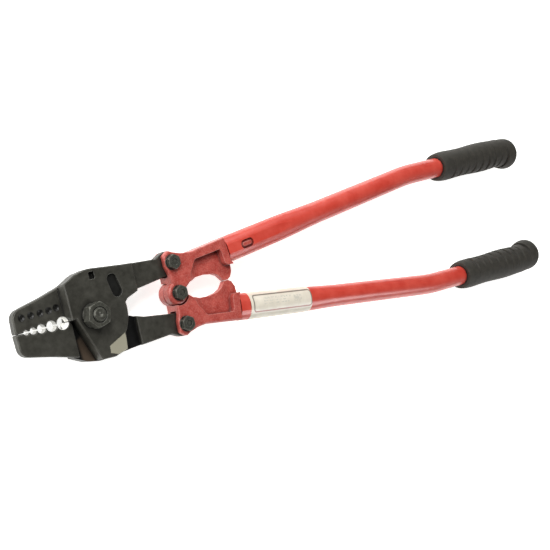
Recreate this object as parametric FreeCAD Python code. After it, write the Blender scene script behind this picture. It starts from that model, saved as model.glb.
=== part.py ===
"""Hand crimping tool for wire-rope sleeves, closed, lying flat with its jaws toward -X.

The drawing frame has its origin on the main pivot axis, in the mid-plane of the tool.
Everything is moved at the end so that the origin is the bottom centre of the bounding box.
The lower jaw, yoke and link hardware are the upper ones turned half a turn about the long axis.
"""
import math
import os

import FreeCAD
import Part

V = FreeCAD.Vector

# Pivot positions, from the main pivot
LINK_X = 75.5
LINK_Y = 23.3

# Gaps
LAP_GAP = 0.15
NOSE_GAP = 0.3
TIP_GAP = 0.15
RUNNING = 0.05

# Jaws
NOSE_HALF = 3.3
HUB_TOP = 9.5
TAIL_HALF = 3.3
HUB_ARC = 28.5
NOSE_FOOT_X = -13.5
HUB_FRONT_X = -15.7
STEP_X = 40.3
SHOULDER_X = 37.7
TAIL_BOSS = 9.0
CAVITIES = [(-19.8, 8.4), (-28.1, 7.4), (-35.7, 6.0), (-41.7, 4.6), (-46.8, 3.4)]
CAVITY_CHAMFER = 0.6
DOT_DIAMETER = 4.6
DOT_DEPTH = 0.8
DOTS = [(-22.1, 11.1), (-27.9, 10.4), (-34.3, 10.2), (-41.2, 10.1), (-48.0, 10.0)]

# Main pivot
MAIN_BOLT = 10.0
MAIN_AF = 16.0
NUT_TURN = 15.0
CENTRE_MARK = 2.0
MAIN_NUT = 8.0
MAIN_HEAD = 6.4
MAIN_WASHER = (25.0, 1.8)
NUT_WASHER = (17.0, 1.8)
OPEN_SLOT_RADIUS = MAIN_BOLT / 2 + 0.4
OPEN_SLOT_TRAVEL = 3.4

# Link and centre pivots
SHOULDER = 6.0
THREAD = 5.8
SMALL_AF = 10.0
SMALL_HEAD = 3.6
SMALL_NUT = 5.0
SMALL_WASHER = (11.6, 0.8)
PIN_WASHER = (11.8, 0.8)
RETAINER = (10.0, 1.0)

# Yokes
YOKE_HALF = 7.6
SLOT_HALF = TAIL_HALF + 0.3
SLOT_RADIUS = TAIL_BOSS + 0.6
HUB_RADIUS = 8.8
HUB_RELIEF = HUB_RADIUS + 0.5
WEB_HALF = 2.2
YOKE_EDGE = 1.4
COLLAR_X = 131.0
COLLAR_LEAN = 0.129

# Handle tubes
TUBE_RADIUS = 9.5
TUBE_WALL = 1.8
OVAL_WIDE = 10.7
OVAL_THIN = 8.2
TUBE_START = (131.1, 22.75)
TUBE_ANGLE = 7.35
END_ANGLE = 1.7
OVAL_LENGTH = 58.0
BLEND_END = 116.0
BLEND_TUCK = 0.02
STRAIGHT_END = 231.0
BEND_RADIUS = 245.0
TUBE_REACH = 158.3
SHANK_LENGTH = 50.0
LOCK_AT = 20.6
LOCK_ASIDE = -0.9
LOCK_LENGTH = 13.6
LOCK_WIDTH = 7.0
LOCK_RIM = 1.9
PRESSED_FLAT = 7.7

# Label on the lower tube
LABEL_FROM = 9.5
LABEL_TO = 76.0
LABEL_SKIN = 0.2

# Grips
GRIP_SECTIONS = [
    (0.0, 13.2, 0.0),
    (4.0, 14.0, 0.0),
    (18.0, 14.6, 0.0),
    (56.0, 14.7, 0.0),
    (101.0, 14.7, 0.0),
    (111.5, 15.2, 0.9),
    (120.0, 16.3, 2.4),
    (125.0, 16.0, 2.6),
    (128.3, 13.6, 2.6),
]
GRIP_OVER_TUBE = 123.3
GROOVES = 9
GROOVE_FIRST = 15.5
GROOVE_PITCH = 12.0
GROOVE_SIZE = 2.2
GROOVE_RING = 16.5
GROOVE_SHIFT = 1.8


def prism(points, low, high):
    """Solid with a straight-sided outline between two heights."""
    loop = [V(x, y, low) for x, y in points]
    loop.append(loop[0])
    face = Part.Face(Part.makePolygon(loop))
    return face.extrude(V(0, 0, high - low))


def disc(x, y, radius, low, high):
    """Upright cylinder between two heights."""
    return Part.makeCylinder(radius, high - low, V(x, y, low))


def hexagon(x, y, flats, low, high, first_corner=30.0):
    """Upright hexagonal prism, measured across its flats."""
    corner = flats / math.sqrt(3)
    points = []
    for step in range(6):
        angle = math.radians(60 * step + first_corner)
        points.append((x + corner * math.cos(angle), y + corner * math.sin(angle)))
    return prism(points, low, high)


def soften_corners(solid, corners):
    """Round the upright edges that stand at the given points."""
    for x, y, radius in corners:
        near = []
        for edge in solid.Edges:
            first = edge.Vertexes[0].Point
            last = edge.Vertexes[-1].Point
            upright = abs(first.z - last.z) > 1 and math.hypot(first.x - last.x, first.y - last.y) < 0.01
            if upright and math.hypot(first.x - x, first.y - y) < 0.05:
                near.append(edge)
        solid = solid.makeFillet(radius, near)
    return solid


def flat_edges(solid, height):
    """Edges that lie wholly at one height."""
    found = []
    for edge in solid.Edges:
        box = edge.BoundBox
        if abs(box.ZMin - height) < 0.01 and abs(box.ZMax - height) < 0.01:
            found.append(edge)
    return found


def turned_over(shape):
    """Copy turned half a turn about the long axis."""
    copy = shape.copy()
    copy.rotate(V(0, 0, 0), V(1, 0, 0), 180)
    return copy


def jaw_nose():
    """The die end of a jaw, with rounded tip."""
    outline = [
        (NOSE_FOOT_X, NOSE_GAP),
        (NOSE_FOOT_X, 25.4),
        (-17.4, 24.2),
        (-31.0, 20.3),
        (-43.0, 17.5),
        (-53.9, 14.9),
        (-54.5, TIP_GAP),
        (-49.6, TIP_GAP),
        (-49.2, NOSE_GAP),
    ]
    nose = prism(outline, -NOSE_HALF, NOSE_HALF)
    nose = soften_corners(nose, [(-53.9, 14.9, 7.0), (-54.5, TIP_GAP, 0.8)])
    edges = flat_edges(nose, NOSE_HALF) + flat_edges(nose, -NOSE_HALF)
    outer = [edge for edge in edges if edge.BoundBox.YMax > 5 and edge.BoundBox.XMin < NOSE_FOOT_X - 1]
    return nose.makeChamfer(0.7, outer)


def jaw_hub():
    """The thick half-lap plate around the main pivot, above the mid-plane."""
    outline = [
        (HUB_FRONT_X, NOSE_GAP),
        (-16.1, 25.1),
        (-6.4, 30.0),
        (3.6, 32.2),
        (31.6, 29.9),
        (STEP_X, 29.4),
        (STEP_X, 9.2),
        (30.6, 5.7),
    ]
    arc = Part.Arc(
        V(HUB_ARC * math.cos(math.radians(7)), HUB_ARC * math.sin(math.radians(7)), LAP_GAP),
        V(HUB_ARC * math.cos(math.radians(-15)), HUB_ARC * math.sin(math.radians(-15)), LAP_GAP),
        V(HUB_ARC * math.cos(math.radians(-37)), HUB_ARC * math.sin(math.radians(-37)), LAP_GAP),
    ).toShape()
    heel = [(21.2, -28.6), (10.6, -31.4), (0.2, -30.9), (-12.2, 0.0), (-12.2, NOSE_GAP)]
    run = [V(x, y, LAP_GAP) for x, y in outline]
    run.append(arc.Vertexes[0].Point)
    back = [arc.Vertexes[-1].Point] + [V(x, y, LAP_GAP) for x, y in heel] + [run[0]]
    wire = Part.Wire([Part.makePolygon(run), arc, Part.makePolygon(back)])
    hub = Part.Face(wire).extrude(V(0, 0, HUB_TOP - LAP_GAP))
    hub = soften_corners(hub, [(-6.4, 30.0, 12.0), (3.6, 32.2, 20.0), (10.6, -31.4, 6.0)])
    return hub.makeChamfer(0.6, flat_edges(hub, HUB_TOP))


def jaw_tail():
    """The flat lever of a jaw with its round pivot end."""
    outline = [
        (SHOULDER_X, 8.3),
        (43.9, 10.2),
        (69.0, 13.7),
        (LINK_X, LINK_Y - TAIL_BOSS),
        (LINK_X, LINK_Y + TAIL_BOSS),
        (70.4, 31.0),
        (65.0, 28.3),
        (44.0, 29.3),
        (SHOULDER_X, 29.55),
    ]
    lever = prism(outline, -TAIL_HALF, TAIL_HALF)
    boss = disc(LINK_X, LINK_Y, TAIL_BOSS, -TAIL_HALF, TAIL_HALF)
    tail = lever.fuse(boss).removeSplitter()
    edges = flat_edges(tail, TAIL_HALF) + flat_edges(tail, -TAIL_HALF)
    tail = tail.makeChamfer(0.5, edges)
    return tail.cut(disc(LINK_X, LINK_Y, SHOULDER / 2 + RUNNING, -20, 20))


def size_marks():
    """Round dimples beside the dies and the two shallow recesses in the hub, as one cutter."""
    cutters = []
    for x, y in DOTS:
        cone = Part.makeCone(DOT_DIAMETER / 4, DOT_DIAMETER / 2, DOT_DEPTH + 0.05)
        cone.translate(V(x, y, NOSE_HALF - DOT_DEPTH))
        cutters.append(cone)
    square = Part.makeBox(4.4, 5.2, 4.0, V(4.0, 24.4, HUB_TOP - 3.0))
    cutters.append(square.makeFillet(0.8, [e for e in square.Edges if abs(e.BoundBox.ZLength - 4) < 0.01]))
    recess = Part.makeBox(8.2, 9.0, 3.0, V(-4.1, -4.5, HUB_TOP - 1.3))
    recess = recess.fuse([disc(0, 4.5, 4.1, HUB_TOP - 1.3, HUB_TOP + 1.7)])
    recess = recess.fuse([disc(0, -4.5, 4.1, HUB_TOP - 1.3, HUB_TOP + 1.7)])
    recess.rotate(V(0, 0, 0), V(0, 0, 1), 12)
    recess.translate(V(22.3, 16.8, 0))
    cutters.append(recess)
    return cutters


def die_cutters():
    """Round through-cavities shared by both jaws, eased at both faces."""
    cutters = []
    for x, diameter in CAVITIES:
        radius = diameter / 2
        cutters.append(disc(x, 0, radius + 0.05, -HUB_TOP - 1, -NOSE_HALF - 0.01))
        cutters.append(disc(x, 0, radius, -NOSE_HALF - 1, NOSE_HALF + 1))
        cutters.append(disc(x, 0, radius + 0.05, NOSE_HALF + 0.01, HUB_TOP + 1))
        for side in (1, -1):
            cone = Part.makeCone(radius, radius + CAVITY_CHAMFER + 0.2, CAVITY_CHAMFER + 0.2)
            if side < 0:
                cone.rotate(V(0, 0, 0), V(1, 0, 0), 180)
            cone.translate(V(x, 0, side * (NOSE_HALF - CAVITY_CHAMFER)))
            cutters.append(cone)
    return cutters


def jaw_blank():
    """One jaw forging without its main bore."""
    nose = jaw_nose()
    groove = Part.makeBox(1.0, 40.0, 1.0, V(HUB_FRONT_X - 2.6, 0, NOSE_HALF - 0.5))
    nose = nose.cut(groove)
    foot = Part.Face(Part.makePolygon([
        V(HUB_FRONT_X - 1.6, NOSE_GAP, 3.0),
        V(HUB_FRONT_X + 1.0, NOSE_GAP, 3.0),
        V(HUB_FRONT_X + 1.0, NOSE_GAP, HUB_TOP - 0.6),
        V(HUB_FRONT_X - 0.1, NOSE_GAP, HUB_TOP - 0.6),
        V(HUB_FRONT_X - 1.6, NOSE_GAP, NOSE_HALF),
        V(HUB_FRONT_X - 1.6, NOSE_GAP, 3.0),
    ])).extrude(V(0, 24.0, 0))
    blank = nose.fuse([jaw_hub(), jaw_tail(), foot])
    blank = blank.cut(size_marks() + die_cutters())
    return blank


def axis_turn(distance):
    """Placement that stands a flat drawing square to the straight part of the handle axis."""
    angle = math.radians(TUBE_ANGLE)
    x = TUBE_START[0] + distance * math.cos(angle)
    y = TUBE_START[1] + distance * math.sin(angle)
    return FreeCAD.Placement(FreeCAD.Matrix(
        -math.sin(angle), 0, math.cos(angle), x,
        math.cos(angle), 0, math.sin(angle), y,
        0, 1, 0, 0,
        0, 0, 0, 1,
    ))


def oval_ring(distance, wide, thin):
    """Closed oval wire square to the straight part of the handle axis."""
    wire = Part.Wire([Part.Ellipse(V(0, 0, 0), wide, thin).toShape()])
    wire.Placement = axis_turn(distance)
    return wire


def oval_rod(offset, start, end):
    """Straight flattened rod, at an offset from the tube's outer skin."""
    ring = oval_ring(start, OVAL_WIDE + offset, OVAL_THIN + offset)
    angle = math.radians(TUBE_ANGLE)
    return Part.Face(ring).extrude(V(math.cos(angle), math.sin(angle), 0) * (end - start))


def blend_body(offset):
    """Length where the oval turns round, a hair under size so that it ends inside its neighbours."""
    rings = []
    for step in range(9):
        distance = OVAL_LENGTH - 1 + step * (BLEND_END - OVAL_LENGTH + 2) / 8
        share = min(max((distance - OVAL_LENGTH) / (BLEND_END - OVAL_LENGTH), 0), 1)
        share = share * share * (3 - 2 * share)
        wide = OVAL_WIDE + (TUBE_RADIUS - OVAL_WIDE) * share + offset - BLEND_TUCK
        thin = OVAL_THIN + (TUBE_RADIUS - OVAL_THIN) * share + offset - BLEND_TUCK
        rings.append(oval_ring(distance, wide, min(thin, wide - 0.001)))
    return Part.makeLoft(rings, True, False)


def handle_points():
    """Start, bend start, bend middle, bend end and far end of the round part of the handle axis."""
    first = math.radians(TUBE_ANGLE)
    last = math.radians(END_ANGLE)
    along = V(math.cos(first), math.sin(first), 0)
    origin = V(TUBE_START[0], TUBE_START[1], 0)
    start = origin + along * BLEND_END
    bend_start = origin + along * STRAIGHT_END
    centre = bend_start + V(math.sin(first), -math.cos(first), 0) * BEND_RADIUS
    middle_angle = (first + last) / 2
    middle = centre + V(-math.sin(middle_angle), math.cos(middle_angle), 0) * BEND_RADIUS
    bend_end = centre + V(-math.sin(last), math.cos(last), 0) * BEND_RADIUS
    far = bend_end + V(math.cos(last), math.sin(last), 0) * TUBE_REACH
    return start, bend_start, middle, bend_end, far


def round_body(radius, extra):
    """Round, bent length of the handle at one radius."""
    start, bend_start, middle, bend_end, far = handle_points()
    along = (far - bend_end).normalize()
    path = Part.Wire([
        Part.makeLine(start, bend_start),
        Part.Arc(bend_start, middle, bend_end).toShape(),
        Part.makeLine(bend_end, far + along * extra),
    ])
    ring = Part.Wire([Part.makeCircle(radius, start, (bend_start - start).normalize())])
    return path.makePipeShell([ring], True, False)


def lock_slots(margin, low, high):
    """Rounded slots on both flats of the tube, inset by a margin, between two heights above the mid-plane."""
    angle = math.radians(TUBE_ANGLE)
    x = TUBE_START[0] + LOCK_AT * math.cos(angle) - LOCK_ASIDE * math.sin(angle)
    y = TUBE_START[1] + LOCK_AT * math.sin(angle) + LOCK_ASIDE * math.cos(angle)
    radius = LOCK_WIDTH / 2 - margin
    half = LOCK_LENGTH / 2 - LOCK_WIDTH / 2
    slots = []
    for base in (low, -high):
        block = Part.makeBox(2 * half, 2 * radius, high - low, V(-half, -radius, base))
        block = block.fuse([disc(half, 0, radius, base, base + high - low),
                            disc(-half, 0, radius, base, base + high - low)])
        block.rotate(V(0, 0, 0), V(0, 0, 1), TUBE_ANGLE)
        block.translate(V(x, y, 0))
        slots.append(block)
    return slots


def pressed_flats():
    """Cutters for the long flats that the press leaves on the tube's first length."""
    profile = [(-4, PRESSED_FLAT), (60, PRESSED_FLAT), (90, PRESSED_FLAT + 1.5), (90, 14), (-4, 14)]
    flats = []
    for side in (1, -1):
        loop = [V(x, -20, side * z) for x, z in profile]
        loop.append(loop[0])
        block = Part.Face(Part.makePolygon(loop)).extrude(V(0, 40, 0))
        block.rotate(V(0, 0, 0), V(0, 0, 1), TUBE_ANGLE)
        block.translate(V(TUBE_START[0], TUBE_START[1], 0))
        flats.append(block)
    return flats


def handle_tube():
    """Steel tube, flattened where it grips the yoke and bent before the grip."""
    outer = oval_rod(0, 0, OVAL_LENGTH).fuse([blend_body(0), round_body(TUBE_RADIUS, 0)])
    inner = oval_rod(-TUBE_WALL, -0.5, OVAL_LENGTH)
    inner = inner.fuse([blend_body(-TUBE_WALL), round_body(TUBE_RADIUS - TUBE_WALL, 1.0)])
    tube = outer.cut(inner)
    return tube.cut(pressed_flats() + lock_slots(0, 4, 12))


def handle_label():
    """Blank wrap label around the flattened part of the lower tube."""
    skin = oval_rod(LABEL_SKIN, 0, OVAL_LENGTH).fuse(blend_body(LABEL_SKIN))
    core = oval_rod(0, 0, OVAL_LENGTH).fuse(blend_body(0))
    span = oval_rod(3, LABEL_FROM, LABEL_TO)
    return turned_over(skin.common(span).cut(core))


def grip():
    """Moulded grip with a flared end and finger grooves on its inner side."""
    bend_end = handle_points()[3]
    far = handle_points()[4]
    last = math.radians(END_ANGLE)
    along = V(math.cos(last), math.sin(last), 0)
    across = V(-math.sin(last), math.cos(last), 0)
    mouth = far - along * (GRIP_OVER_TUBE - 2)
    rings = []
    for distance, radius, shift in GRIP_SECTIONS:
        centre = mouth + along * distance - across * shift
        rings.append(Part.Wire([Part.makeCircle(radius, centre, along)]))
    body = Part.makeLoft(rings, True, False)
    bore = Part.makeCylinder(TUBE_RADIUS + RUNNING, GRIP_OVER_TUBE + 5, mouth - along * 5, along)
    grooves = []
    for index in range(GROOVES):
        centre = mouth + along * (GROOVE_FIRST + index * GROOVE_PITCH) + across * GROOVE_SHIFT
        grooves.append(Part.makeTorus(GROOVE_RING, GROOVE_SIZE, centre, along))
    return body.cut(bore).cut(grooves)


def yoke_pockets():
    """Deep pockets that thin both faces of a yoke to a web, open toward the stop lug."""
    outline = [(90.0, 11.5), (97.0, 21.6), (122.4, 24.6), (123.8, 22.4), (124.8, 13.6),
               (127.2, 11.4), (142.0, 11.4), (142.0, -5.0), (86.0, -5.0), (88.5, 4.0)]
    profile = [(86, YOKE_HALF + 1), (89, YOKE_HALF - 0.1), (98, WEB_HALF), (144, WEB_HALF), (144, 12), (86, 12)]
    pockets = []
    for side in (1, -1):
        loop = [V(x, -10, side * z) for x, z in profile]
        loop.append(loop[0])
        wedge = Part.Face(Part.makePolygon(loop)).extrude(V(0, 60, 0))
        pocket = prism(outline, -12, 12)
        pocket = soften_corners(pocket, [(97.0, 21.6, 2.5), (124.8, 13.6, 1.2), (127.2, 11.4, 2.0)])
        pockets.append(pocket.common(wedge))
    return pockets


def yoke():
    """Upper yoke: fork for the jaw tail, half-lap centre hub, stop lug and shank."""
    outline = [
        (71.9, 4.0),
        (71.6, 14.5),
        (69.6, 20.5),
        (69.4, 29.0),
        (74.6, 32.4),
        (78.7, 30.5),
        (85.6, 28.6),
        (94.9, 27.9),
        (105.0, 29.5),
        (117.4, 31.2),
        (COLLAR_X - COLLAR_LEAN * 10.35, 33.1),
        (COLLAR_X + COLLAR_LEAN * 9.15, 13.6),
        (133.6, 12.4),
        (133.3, 6.3),
        (131.0, 2.0),
        (127.9, NOSE_GAP / 2),
        (123.9, NOSE_GAP / 2),
        (119.6, 5.1),
        (115.0, 7.2),
        (106.5, 8.5),
        (96.5, 7.9),
        (88.4, 5.8),
        (83.2, 2.0),
        (76.0, 1.0),
    ]
    plate = prism(outline, -YOKE_HALF, YOKE_HALF)
    corners = [(71.6, 14.5, 6.0), (69.6, 20.5, 6.0), (69.4, 29.0, 3.0), (74.6, 32.4, 2.5), (94.9, 27.9, 20.0)]
    plate = soften_corners(plate, corners)
    edges = flat_edges(plate, YOKE_HALF) + flat_edges(plate, -YOKE_HALF)
    plate = plate.makeFillet(YOKE_EDGE, edges)
    plate = plate.cut(disc(LINK_X, 0, HUB_RELIEF, -20, LAP_GAP))
    hub = disc(LINK_X, 0, HUB_RADIUS, LAP_GAP, YOKE_HALF)
    hub = hub.makeFillet(2.2, flat_edges(hub, YOKE_HALF))
    hub = hub.makeFillet(0.7, flat_edges(hub, LAP_GAP))
    slot = Part.makeBox(20, 40, 2 * SLOT_HALF, V(LINK_X - 20, LINK_Y - 10.4, -SLOT_HALF))
    slot = slot.fuse(disc(LINK_X, LINK_Y, SLOT_RADIUS, -SLOT_HALF, SLOT_HALF))
    pockets = yoke_pockets()
    solid = plate.fuse(hub).cut([slot] + pockets)
    shank = oval_rod(-TUBE_WALL - RUNNING, -3, SHANK_LENGTH)
    solid = solid.fuse([shank] + lock_slots(LOCK_RIM, OVAL_THIN - TUBE_WALL - 1.2, PRESSED_FLAT - 0.5))
    solid = solid.cut(disc(LINK_X, 0, SHOULDER / 2 + RUNNING, -20, 20))
    return solid.cut(disc(LINK_X, LINK_Y, SHOULDER / 2 + 0.02, -20, 20))


def small_head(x, y):
    """Dished hexagon head of a small bolt or pin, above its washer."""
    seat = YOKE_HALF + SMALL_WASHER[1]
    head = hexagon(x, y, SMALL_AF, seat, seat + SMALL_HEAD)
    crown = Part.makeCone(SMALL_AF * 0.5 + 3.1, SMALL_AF * 0.5 + 0.1, 2.0, V(x, y, seat + SMALL_HEAD - 2.0))
    keep = disc(x, y, SMALL_AF, seat, seat + SMALL_HEAD - 2.0).fuse(crown)
    head = head.common(keep)
    dish = disc(x, y, 2.6, seat + SMALL_HEAD - 0.5, seat + SMALL_HEAD + 1)
    return head.cut(dish)


def small_bolt(x, y):
    """Hexagon-head shoulder bolt that stands through the yoke from above."""
    shank = disc(x, y, SHOULDER / 2, -YOKE_HALF, YOKE_HALF + SMALL_WASHER[1])
    thread = disc(x, y, THREAD / 2, -YOKE_HALF - SMALL_WASHER[1] - SMALL_NUT - 1.2, -YOKE_HALF)
    thread = thread.makeChamfer(0.5, flat_edges(thread, thread.BoundBox.ZMin))
    return small_head(x, y).fuse([shank, thread])


def ring(x, y, outer, inner, low, high):
    """Flat washer between two heights."""
    return disc(x, y, outer / 2, low, high).cut(disc(x, y, inner / 2, low - 1, high + 1))


def eased_nut(x, y, flats, bore, low, high, first_corner=30.0):
    """Hexagon nut with its corners turned down at both ends and its bore eased."""
    body = hexagon(x, y, flats, low, high, first_corner)
    height = high - low
    corner = flats / math.sqrt(3)
    face = flats / 2 + 0.25
    rise = (corner - face) * 0.58
    keep = Part.makeCone(face, corner, rise, V(x, y, low))
    keep = keep.fuse(disc(x, y, corner, low + rise, high - rise))
    keep = keep.fuse(Part.makeCone(corner, face, rise, V(x, y, low + height - rise)))
    ease = bore * 0.07
    cuts = [disc(x, y, bore / 2, low - 1, high + 1)]
    cuts.append(Part.makeCone(bore / 2, bore / 2 + ease, ease, V(x, y, high - ease)))
    cuts.append(Part.makeCone(bore / 2 + ease, bore / 2, ease, V(x, y, low)))
    return body.common(keep).cut(cuts)


def link_hardware(prefix, x, y):
    """Bolt, washers and nut of one link pivot."""
    low_seat = -YOKE_HALF
    nut_high = low_seat - SMALL_WASHER[1]
    parts = {}
    parts[prefix + "_bolt"] = small_bolt(x, y)
    parts[prefix + "_washer"] = ring(
        x, y, SMALL_WASHER[0], SHOULDER + 0.1, YOKE_HALF, YOKE_HALF + SMALL_WASHER[1])
    parts[prefix + "_back_washer"] = ring(
        x, y, SMALL_WASHER[0], THREAD + 0.1, nut_high, low_seat)
    parts[prefix + "_nut"] = eased_nut(x, y, SMALL_AF, THREAD + 0.1, nut_high - SMALL_NUT, nut_high)
    return parts


def centre_pivot_parts():
    """Headed pin of the yoke pivot, held from below by a washer and a retaining ring."""
    low = -YOKE_HALF - 0.2
    ring_high = low - PIN_WASHER[1]
    ring_low = ring_high - RETAINER[1]
    pin = disc(LINK_X, 0, SHOULDER / 2, ring_low - 0.6, YOKE_HALF + SMALL_WASHER[1])
    pin = pin.makeChamfer(0.4, flat_edges(pin, pin.BoundBox.ZMin))
    parts = {}
    parts["centre_pivot_pin"] = pin.fuse(small_head(LINK_X, 0))
    parts["centre_pivot_washer"] = ring(
        LINK_X, 0, SMALL_WASHER[0], SHOULDER + 0.1, YOKE_HALF, YOKE_HALF + SMALL_WASHER[1])
    parts["centre_pivot_back_washer"] = ring(LINK_X, 0, PIN_WASHER[0], SHOULDER + 0.1, ring_high, low)
    clip = ring(LINK_X, 0, RETAINER[0], SHOULDER + 0.02, ring_low, ring_high)
    mouth = Part.makeBox(8.0, 2.6, 6.0, V(LINK_X, -1.3, ring_low - 2))
    parts["centre_pivot_clip"] = clip.cut(mouth)
    return parts


def centre_mark(end):
    """Shallow lathe-centre cone left in the end of a bolt."""
    return Part.makeCone(0.4, CENTRE_MARK, 0.8, V(0, 0, end - 0.7))


def main_pivot_parts():
    """Through bolt, nut and two wide washers of the jaw pivot."""
    wide, thick = MAIN_WASHER
    back = -HUB_TOP - 0.25
    nut_wide, nut_thick = NUT_WASHER
    top_seat = HUB_TOP + nut_thick
    head_top = back - thick
    bolt = disc(0, 0, MAIN_BOLT / 2, head_top - 1, top_seat + MAIN_NUT + 0.8)
    bolt = bolt.makeChamfer(0.9, flat_edges(bolt, bolt.BoundBox.ZMax))
    bolt = bolt.cut(centre_mark(bolt.BoundBox.ZMax))
    head = hexagon(0, 0, MAIN_AF, head_top - MAIN_HEAD, head_top)
    cone = Part.makeCone(MAIN_AF / 2 - 0.3, MAIN_AF / 2 + 2.4, 1.6, V(0, 0, head_top - MAIN_HEAD))
    keep = cone.fuse(disc(0, 0, MAIN_AF, head_top - MAIN_HEAD + 1.6, head_top))
    parts = {}
    parts["main_pivot_bolt"] = bolt.fuse(head.common(keep))
    nut_high = top_seat + MAIN_NUT
    parts["main_pivot_nut"] = eased_nut(
        0, 0, MAIN_AF, MAIN_BOLT + 0.1, top_seat, nut_high, NUT_TURN)
    parts["main_pivot_washer"] = ring(0, 0, nut_wide, MAIN_BOLT + 0.1, HUB_TOP, top_seat)
    parts["main_pivot_back_washer"] = ring(0, 0, wide, MAIN_BOLT + 0.1, head_top, back)
    return parts


def build_parts():
    """Every named piece in the drawing frame."""
    blank = jaw_blank()
    upper_jaw = blank.cut(disc(0, 0, MAIN_BOLT / 2 + RUNNING, -30, 30))
    slot = disc(0, 0, OPEN_SLOT_RADIUS, -30, 30)
    slot = slot.fuse([
        disc(0, OPEN_SLOT_TRAVEL, OPEN_SLOT_RADIUS, -30, 30),
        Part.makeBox(2 * OPEN_SLOT_RADIUS, OPEN_SLOT_TRAVEL, 60, V(-OPEN_SLOT_RADIUS, 0, -30)),
    ])
    upper_yoke = yoke()
    tube = handle_tube()
    rubber = grip()
    parts = {
        "upper_jaw": upper_jaw,
        "lower_jaw": turned_over(blank).cut(slot),
        "upper_yoke": upper_yoke,
        "lower_yoke": turned_over(upper_yoke),
        "upper_handle_tube": tube,
        "lower_handle_tube": turned_over(tube),
        "upper_grip": rubber,
        "lower_grip": turned_over(rubber),
        "handle_label": handle_label(),
    }
    parts.update(main_pivot_parts())
    parts.update(centre_pivot_parts())
    parts.update(link_hardware("upper_link", LINK_X, LINK_Y))
    parts.update(link_hardware("lower_link", LINK_X, -LINK_Y))
    return parts


def main():
    """Build, centre and save every piece."""
    parts = build_parts()
    box = FreeCAD.BoundBox()
    for shape in parts.values():
        box.add(shape.optimalBoundingBox(False, False))
    shift = V(-(box.XMin + box.XMax) / 2, -(box.YMin + box.YMax) / 2, -box.ZMin)
    os.makedirs("parts", exist_ok=True)
    for name, shape in parts.items():
        moved = shape.copy()
        moved.translate(shift)
        print(name, len(moved.Solids), moved.isValid(), round(moved.Volume, 1))
        moved.exportStep("parts/" + name + ".step")
    print("shift", shift, "size", box.XLength, box.YLength, box.ZLength)


main()
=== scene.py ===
"""Looks, light and camera for a long-handled hand crimping tool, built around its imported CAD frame."""
import logging
import math
from dataclasses import dataclass, field
from enum import Enum
from typing import Dict, Optional, Sequence, Tuple, Union

import bmesh
import bpy
from mathutils import Matrix, Vector


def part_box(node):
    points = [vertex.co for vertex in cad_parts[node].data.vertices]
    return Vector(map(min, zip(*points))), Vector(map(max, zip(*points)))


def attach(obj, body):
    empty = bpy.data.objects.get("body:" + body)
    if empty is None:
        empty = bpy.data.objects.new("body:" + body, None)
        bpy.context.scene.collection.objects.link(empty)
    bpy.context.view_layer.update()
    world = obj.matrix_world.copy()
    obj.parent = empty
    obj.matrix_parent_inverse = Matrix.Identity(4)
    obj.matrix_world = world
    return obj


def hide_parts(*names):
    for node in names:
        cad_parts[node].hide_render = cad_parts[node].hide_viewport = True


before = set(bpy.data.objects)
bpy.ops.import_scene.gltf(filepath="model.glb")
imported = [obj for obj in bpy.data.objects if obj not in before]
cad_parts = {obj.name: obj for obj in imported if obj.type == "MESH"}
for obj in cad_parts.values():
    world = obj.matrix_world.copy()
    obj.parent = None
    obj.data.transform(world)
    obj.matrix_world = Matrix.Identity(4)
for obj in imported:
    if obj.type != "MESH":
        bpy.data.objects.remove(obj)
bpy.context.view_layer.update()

LOG = logging.getLogger("crimper")
MM = 0.001

Colour = Tuple[float, float, float, float]
Point = Tuple[float, float]
Spot = Tuple[float, float, float]
Socket = bpy.types.NodeSocket
Tree = bpy.types.NodeTree
Settings = Dict[Union[int, str], object]

# The main pivot on the plane where the two jaws lap, where the jaws' own drawing has its origin
BOLT_LOW, BOLT_HIGH = (Vector(corner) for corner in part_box("main_pivot_bolt"))
LAP_LEVEL = (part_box("lower_jaw")[0][2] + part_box("upper_jaw")[1][2]) / 2
PIVOT = Vector(((BOLT_LOW.x + BOLT_HIGH.x) / 2, (BOLT_LOW.y + BOLT_HIGH.y) / 2, LAP_LEVEL))


class Kind(Enum):
    """The shader nodes that the finishes are laid out with."""

    SHADER = "ShaderNodeBsdfPrincipled"
    OUTPUT = "ShaderNodeOutputMaterial"
    PLACE = "ShaderNodeTexCoord"
    NOISE = "ShaderNodeTexNoise"
    RAMP = "ShaderNodeValToRGB"
    BUMP = "ShaderNodeBump"
    BEVEL = "ShaderNodeBevel"
    SURFACE = "ShaderNodeNewGeometry"
    OPEN_SKY = "ShaderNodeAmbientOcclusion"
    RANGE = "ShaderNodeMapRange"
    MIX = "ShaderNodeMix"
    MATHS = "ShaderNodeMath"
    VECTOR = "ShaderNodeVectorMath"
    SPLIT = "ShaderNodeSeparateXYZ"
    TURN = "ShaderNodeVectorRotate"


# Settings that several nodes share: a soft fall from one to zero, and a mix of colours
FALL: Settings = {"interpolation_type": "SMOOTHSTEP", "To Min": 1.0, "To Max": 0.0}
BLEND: Settings = {"data_type": "RGBA"}
BLEND_LOW, BLEND_HIGH, BLEND_OUT = 6, 7, 2


def srgb(code: str) -> Colour:
    """Turn an sRGB hex code into a linear colour.

    Args:
        code: Six hex digits with a leading hash.

    Returns:
        Linear red, green, blue and an alpha of one.
    """
    parts = [int(code[i:i + 2], 16) / 255 for i in (1, 3, 5)]
    linear = [c / 12.92 if c <= 0.04045 else ((c + 0.055) / 1.055) ** 2.4 for c in parts]
    return (linear[0], linear[1], linear[2], 1.0)


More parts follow.
